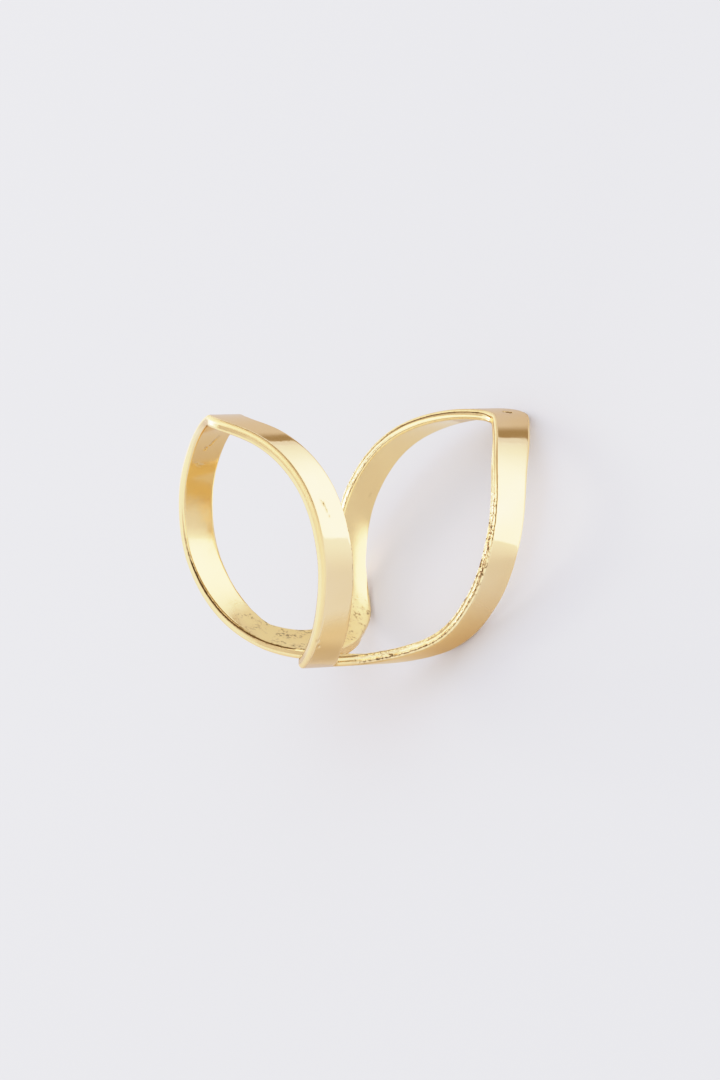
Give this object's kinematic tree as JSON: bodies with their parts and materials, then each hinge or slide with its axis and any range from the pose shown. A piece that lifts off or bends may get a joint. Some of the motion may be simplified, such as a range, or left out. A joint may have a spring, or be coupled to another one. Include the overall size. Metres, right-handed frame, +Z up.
{
  "type": "ring",
  "caption": "Open pointed double-loop band ring in polished gold tone, worn round a finger, with two long peaks along it and arms that cross beneath.",
  "frame": {"origin": "on the surface that the ring lies on, below the middle of its outline from above", "axes": "+Z up; the finger's axis lies in the XZ plane, 62.2 degrees from level, and goes down toward +X through the right loop; -Y is the front, where the outer pair of arms runs"},
  "size_m": [0.0268, 0.0192, 0.0265],
  "materials": {
    "gold": "polished pale yellow gold plate"
  },
  "bodies": {
    "root": {"band": "gold"}
  },
  "joints": []
}
